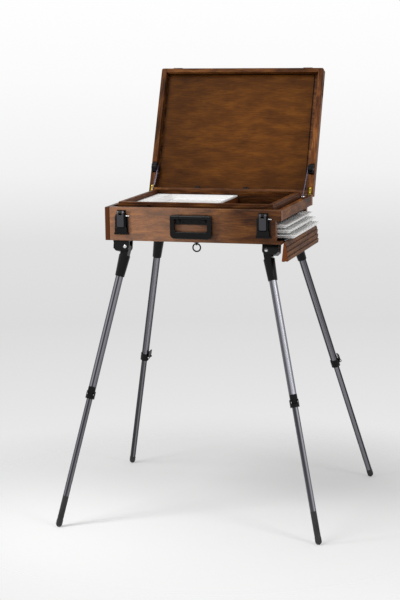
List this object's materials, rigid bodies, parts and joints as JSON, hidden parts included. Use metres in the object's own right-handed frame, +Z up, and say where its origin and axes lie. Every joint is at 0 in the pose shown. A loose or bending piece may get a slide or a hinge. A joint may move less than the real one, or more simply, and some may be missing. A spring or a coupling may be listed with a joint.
{
  "type": "pochade box",
  "caption": "Wooden painting box on folding telescopic legs, with a hinged lid easel held by slotted stays, palette pan, side trays behind a drop flap, latches and handle.",
  "frame": {"origin": "centre of the case's underside", "axes": "+X to the painter's right, towards the drop flap; +Y away from the painter, towards the lid hinge; +Z up"},
  "size_m": [0.6982, 0.6549, 1.1134],
  "materials": {
    "walnut": "satin stained",
    "plywood": "satin stained",
    "white_plastic": "moulded",
    "black_metal": "gloss black",
    "black_plastic": "moulded",
    "steel": "bright",
    "brass": "polished",
    "aluminium": "satin anodised",
    "rubber": "matte"
  },
  "bodies": {
    "case": {"case_front_wall": "walnut", "case_back_wall": "walnut", "case_left_wall": "walnut", "case_right_upper_rail": "walnut", "case_right_lower_rail": "walnut", "case_bottom_board": "plywood", "compartment_floor": "plywood", "tray_runners": "plywood", "tray_frame": "walnut", "palette_pan": "white_plastic", "flap_hinge_case_leaf": "black_metal", "lid_hinge_case_leaves": "brass", "hinge_pins": "steel", "latch_bases": "black_metal", "pivot_pins": "steel", "handle_plate": "black_metal", "ring_eye": "black_metal", "leg_brackets": "black_plastic"},
    "lid": {"lid_side_rail_left": "walnut", "lid_side_rail_right": "walnut", "lid_hinge_rail": "walnut", "lid_front_rail": "walnut", "lid_back_board": "plywood", "lid_panel": "plywood", "lid_clips_and_keepers": "black_metal", "lid_hinge_lid_leaves": "brass", "stay_studs": "steel"},
    "flap": {"flap": "walnut", "flap_hinge_flap_leaf": "black_metal"},
    "handle": {"handle_bail": "black_plastic"},
    "ring": {"ring": "black_metal"},
    "stay_arm_left": {"stay_arm_left": "steel"},
    "stay_knob_left": {"stay_knob_left": "black_plastic"},
    "latch_lever_left": {"latch_lever_left": "black_metal"},
    "stay_arm_right": {"stay_arm_right": "steel"},
    "stay_knob_right": {"stay_knob_right": "black_plastic"},
    "latch_lever_right": {"latch_lever_right": "black_metal"},
    "slide_tray_top": {"slide_tray_top": "white_plastic"},
    "slide_tray_middle": {"slide_tray_middle": "white_plastic"},
    "slide_tray_bottom": {"slide_tray_bottom": "white_plastic"},
    "leg_front_left": {"leg_front_left_fittings": "black_plastic", "leg_front_left_upper_tube": "aluminium"},
    "leg_front_left_lower": {"leg_front_left_lower_tube": "aluminium", "leg_front_left_foot": "rubber"},
    "leg_front_left_lever": {"leg_front_left_lock_lever": "black_plastic"},
    "leg_front_right": {"leg_front_right_fittings": "black_plastic", "leg_front_right_upper_tube": "aluminium"},
    "leg_front_right_lower": {"leg_front_right_lower_tube": "aluminium", "leg_front_right_foot": "rubber"},
    "leg_front_right_lever": {"leg_front_right_lock_lever": "black_plastic"},
    "leg_back_left": {"leg_back_left_fittings": "black_plastic", "leg_back_left_upper_tube": "aluminium"},
    "leg_back_left_lower": {"leg_back_left_lower_tube": "aluminium", "leg_back_left_foot": "rubber"},
    "leg_back_left_lever": {"leg_back_left_lock_lever": "black_plastic"},
    "leg_back_right": {"leg_back_right_fittings": "black_plastic", "leg_back_right_upper_tube": "aluminium"},
    "leg_back_right_lower": {"leg_back_right_lower_tube": "aluminium", "leg_back_right_foot": "rubber"},
    "leg_back_right_lever": {"leg_back_right_lock_lever": "black_plastic"}
  },
  "joints": [
    {"name": "lid_hinge", "type": "hinge", "parent": "case", "child": "lid", "pos_m": [0, 0.176, 0.0835], "axis": [1, 0, 0], "range_deg": [0, 112.8]},
    {"name": "stay_pivot_left", "type": "hinge", "parent": "case", "child": "stay_arm_left", "pos_m": [-0.2059, 0.145, 0.0795], "axis": [1, 0, 0], "range_deg": [0, 123.26]},
    {"name": "stay_knob_left_turn", "type": "hinge", "parent": "lid", "child": "stay_knob_left", "pos_m": [-0.214, 0.20478, 0.14679], "axis": [1, 0, 0], "range_deg": [-180, 180]},
    {"name": "latch_left", "type": "hinge", "parent": "case", "child": "latch_lever_left", "pos_m": [-0.181, -0.1815, 0.07], "axis": [-1, 0, 0], "range_deg": [0, 130]},
    {"name": "stay_pivot_right", "type": "hinge", "parent": "case", "child": "stay_arm_right", "pos_m": [0.2059, 0.145, 0.0795], "axis": [1, 0, 0], "range_deg": [0, 123.26]},
    {"name": "stay_knob_right_turn", "type": "hinge", "parent": "lid", "child": "stay_knob_right", "pos_m": [0.214, 0.20478, 0.14679], "axis": [1, 0, 0], "range_deg": [-180, 180]},
    {"name": "latch_right", "type": "hinge", "parent": "case", "child": "latch_lever_right", "pos_m": [0.181, -0.1815, 0.07], "axis": [-1, 0, 0], "range_deg": [0, 130]},
    {"name": "flap_hinge", "type": "hinge", "parent": "case", "child": "flap", "pos_m": [0.228, 0, 0.0072], "axis": [0, -1, 0], "range_deg": [0, 186.5]},
    {"name": "tray_top_slide", "type": "slide", "parent": "case", "child": "slide_tray_top", "axis": [-1, 0, 0], "range_m": [0, 0.0235]},
    {"name": "tray_middle_slide", "type": "slide", "parent": "case", "child": "slide_tray_middle", "axis": [-1, 0, 0], "range_m": [0, 0.0305]},
    {"name": "tray_bottom_slide", "type": "slide", "parent": "case", "child": "slide_tray_bottom", "axis": [-1, 0, 0], "range_m": [0, 0.0835]},
    {"name": "handle_swing", "type": "hinge", "parent": "case", "child": "handle", "pos_m": [0, -0.183, 0.062], "axis": [-1, 0, 0], "range_deg": [0, 95]},
    {"name": "ring_swing", "type": "hinge", "parent": "case", "child": "ring", "pos_m": [0.009, -0.165, -0.0042], "axis": [1, 0, 0], "range_deg": [-70, 70]},
    {"name": "leg_front_left_fold", "type": "hinge", "parent": "case", "child": "leg_front_left", "pos_m": [-0.1742, -0.16, -0.018], "axis": [0, -0.9755, 0.2201], "range_deg": [0, 94.4]},
    {"name": "leg_front_left_telescope", "type": "slide", "parent": "leg_front_left", "child": "leg_front_left_lower", "axis": [0.1984, 0.2157, 0.9561], "range_m": [0, 0.304]},
    {"name": "leg_front_left_lock", "type": "hinge", "parent": "leg_front_left", "child": "leg_front_left_lever", "pos_m": [-0.24516, -0.2548, -0.3762], "axis": [0.9422, 0.2269, -0.2467], "range_deg": [0, 100]},
    {"name": "leg_front_right_fold", "type": "hinge", "parent": "case", "child": "leg_front_right", "pos_m": [0.1783, -0.125, -0.0225], "axis": [0, 0.9708, -0.2397], "range_deg": [0, 96.2]},
    {"name": "leg_front_right_telescope", "type": "slide", "parent": "leg_front_right", "child": "leg_front_right_lower", "axis": [-0.2281, 0.2334, 0.9452], "range_m": [0, 0.304]},
    {"name": "leg_front_right_lock", "type": "hinge", "parent": "leg_front_right", "child": "leg_front_right_lever", "pos_m": [0.2681, -0.22603, -0.37472], "axis": [0.9359, 0.3202, 0.1468], "range_deg": [0, 100]},
    {"name": "leg_back_left_fold", "type": "hinge", "parent": "case", "child": "leg_back_left", "pos_m": [-0.1795, 0.128, -0.0156], "axis": [0, -0.9724, -0.2334], "range_deg": [0, 94.9]},
    {"name": "leg_back_left_telescope", "type": "slide", "parent": "leg_back_left", "child": "leg_back_left_lower", "axis": [0.2057, -0.2284, 0.9516], "range_m": [0, 0.304]},
    {"name": "leg_back_left_lock", "type": "hinge", "parent": "leg_back_left", "child": "leg_back_left_lever", "pos_m": [-0.24328, 0.21287, -0.37762], "axis": [0.1362, 0.9696, 0.2033], "range_deg": [0, 100]},
    {"name": "leg_back_right_fold", "type": "hinge", "parent": "case", "child": "leg_back_right", "pos_m": [0.178, 0.16, -0.017], "axis": [0, 0.9756, 0.2198], "range_deg": [0, 97.2]},
    {"name": "leg_back_right_telescope", "type": "slide", "parent": "leg_back_right", "child": "leg_back_right_lower", "axis": [-0.246, -0.213, 0.9456], "range_m": [0, 0.304]},
    {"name": "leg_back_right_lock", "type": "hinge", "parent": "leg_back_right", "child": "leg_back_right_lever", "pos_m": [0.28268, 0.24656, -0.36897], "axis": [-0.4846, 0.8719, 0.0703], "range_deg": [0, 100]}
  ],
  "couplings": [
    {"joint": "stay_pivot_left", "follows": "lid_hinge", "ratio": 1.0883},
    {"joint": "stay_pivot_right", "follows": "lid_hinge", "ratio": 1.0883},
    {"joint": "tray_top_slide", "follows": "flap_hinge", "m_per_rad": 0.007066},
    {"joint": "tray_middle_slide", "follows": "flap_hinge", "m_per_rad": 0.009216},
    {"joint": "tray_bottom_slide", "follows": "flap_hinge", "m_per_rad": 0.025499}
  ]
}
